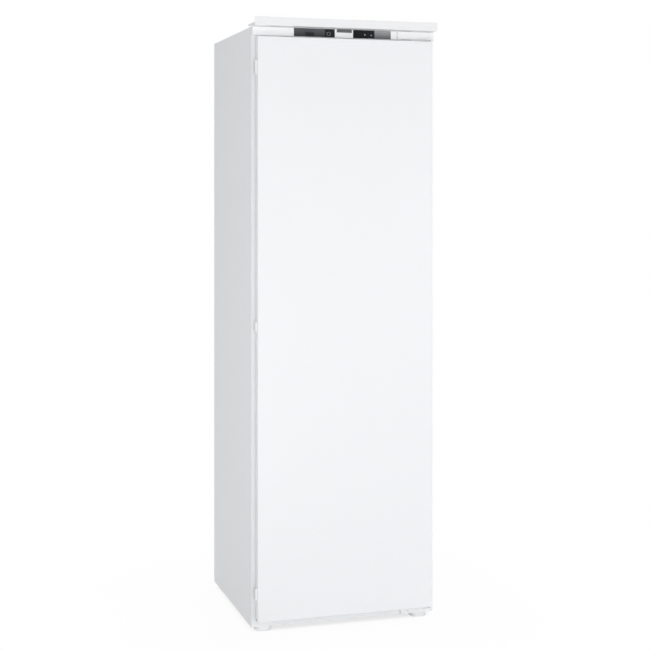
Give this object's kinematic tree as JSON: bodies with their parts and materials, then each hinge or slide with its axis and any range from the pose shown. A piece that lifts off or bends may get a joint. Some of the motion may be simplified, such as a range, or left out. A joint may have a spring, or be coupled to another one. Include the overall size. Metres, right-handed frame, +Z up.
{
  "type": "built-in freezer",
  "caption": "Tall white built-in freezer for a kitchen niche, with a hinged flat door, drawers inside and a control strip with display windows above the door.",
  "frame": {"origin": "on the floor, in the middle of the footprint of the whole object", "axes": "+Z up, +X to the right of someone facing the door, door faces -Y"},
  "size_m": [0.556, 0.549, 1.769],
  "materials": {
    "white_steel": "white powder coat, satin",
    "grey_steel": "light grey coated sheet",
    "zinc_steel": "zinc plated",
    "white_plastic": "white polystyrene, fine satin",
    "clear_plastic": "clear polystyrene, slightly frosted",
    "foam": "rigid polyurethane foam",
    "black_plastic": "black, fine grain",
    "display_glass": "dark tinted window, glossy",
    "gasket_rubber": "soft white gasket",
    "black_steel": "black lacquered steel",
    "copper": "bare copper tube",
    "aluminium": "bare aluminium fins and tube",
    "board": "green circuit board",
    "grey_plastic": "mid grey, satin"
  },
  "bodies": {
    "cabinet": {"outer_cabinet": "white_steel", "bottom_panel": "white_steel", "lower_hinge": "white_steel", "rear_panel": "grey_steel", "base_plate": "grey_steel", "upper_hinge": "zinc_steel", "defrost_heater": "zinc_steel", "inner_liner": "white_plastic", "duct_cover": "white_plastic", "drain_tube": "white_plastic", "front_foot_left": "white_plastic", "front_foot_right": "white_plastic", "top_fascia": "white_plastic", "hinge_cover": "white_plastic", "top_trim": "white_plastic", "drawer_tub_1": "white_plastic", "drawer_tub_2": "white_plastic", "drawer_tub_3": "white_plastic", "drawer_tub_4": "white_plastic", "drawer_tub_5": "white_plastic", "drawer_tub_6": "white_plastic", "drawer_tub_7": "white_plastic", "drawer_front_1": "clear_plastic", "drawer_front_2": "clear_plastic", "drawer_front_3": "clear_plastic", "drawer_front_4": "clear_plastic", "drawer_front_5": "clear_plastic", "drawer_front_6": "clear_plastic", "drawer_front_7": "clear_plastic", "cabinet_insulation": "foam", "start_relay_cover": "black_plastic", "mains_inlet": "black_plastic", "rear_foot_left": "black_plastic", "rear_foot_right": "black_plastic", "display_window_left": "display_glass", "display_window_right": "display_glass", "compressor": "black_steel", "condenser": "black_steel", "fan_motor": "black_steel", "discharge_pipe": "copper", "suction_pipe": "copper", "filter_drier": "copper", "evaporator": "aluminium", "control_board": "board", "centre_plate": "grey_plastic", "drip_tray": "grey_plastic"},
    "door": {"door_skin": "white_steel", "door_cap_bottom": "white_plastic", "door_cap_top": "white_plastic", "door_insulation": "foam", "door_liner": "white_plastic", "door_gasket": "gasket_rubber", "slide_bracket_top": "white_plastic", "slide_bracket_middle": "white_plastic", "slide_bracket_bottom": "white_plastic"},
    "fan": {"fan_impeller": "black_plastic"},
    "power_key": {"power_key": "black_plastic"},
    "cooler_key": {"cooler_key": "black_plastic"},
    "warmer_key": {"warmer_key": "black_plastic"}
  },
  "joints": [
    {"name": "door_hinge", "type": "hinge", "parent": "cabinet", "child": "door", "pos_m": [0.255, -0.2495, 0.875], "axis": [0, 0, 1], "range_deg": [0, 110]},
    {"name": "fan_spin", "type": "hinge", "parent": "cabinet", "child": "fan", "pos_m": [0, 0.14, 0.64], "axis": [0, 1, 0], "continuous": true},
    {"name": "power_key_press", "type": "slide", "parent": "cabinet", "child": "power_key", "axis": [0, 1, 0], "range_m": [0, 0.0008], "stiffness_N_per_m": 1500},
    {"name": "cooler_key_press", "type": "slide", "parent": "cabinet", "child": "cooler_key", "axis": [0, 1, 0], "range_m": [0, 0.0008], "stiffness_N_per_m": 1500},
    {"name": "warmer_key_press", "type": "slide", "parent": "cabinet", "child": "warmer_key", "axis": [0, 1, 0], "range_m": [0, 0.0008], "stiffness_N_per_m": 1500}
  ]
}
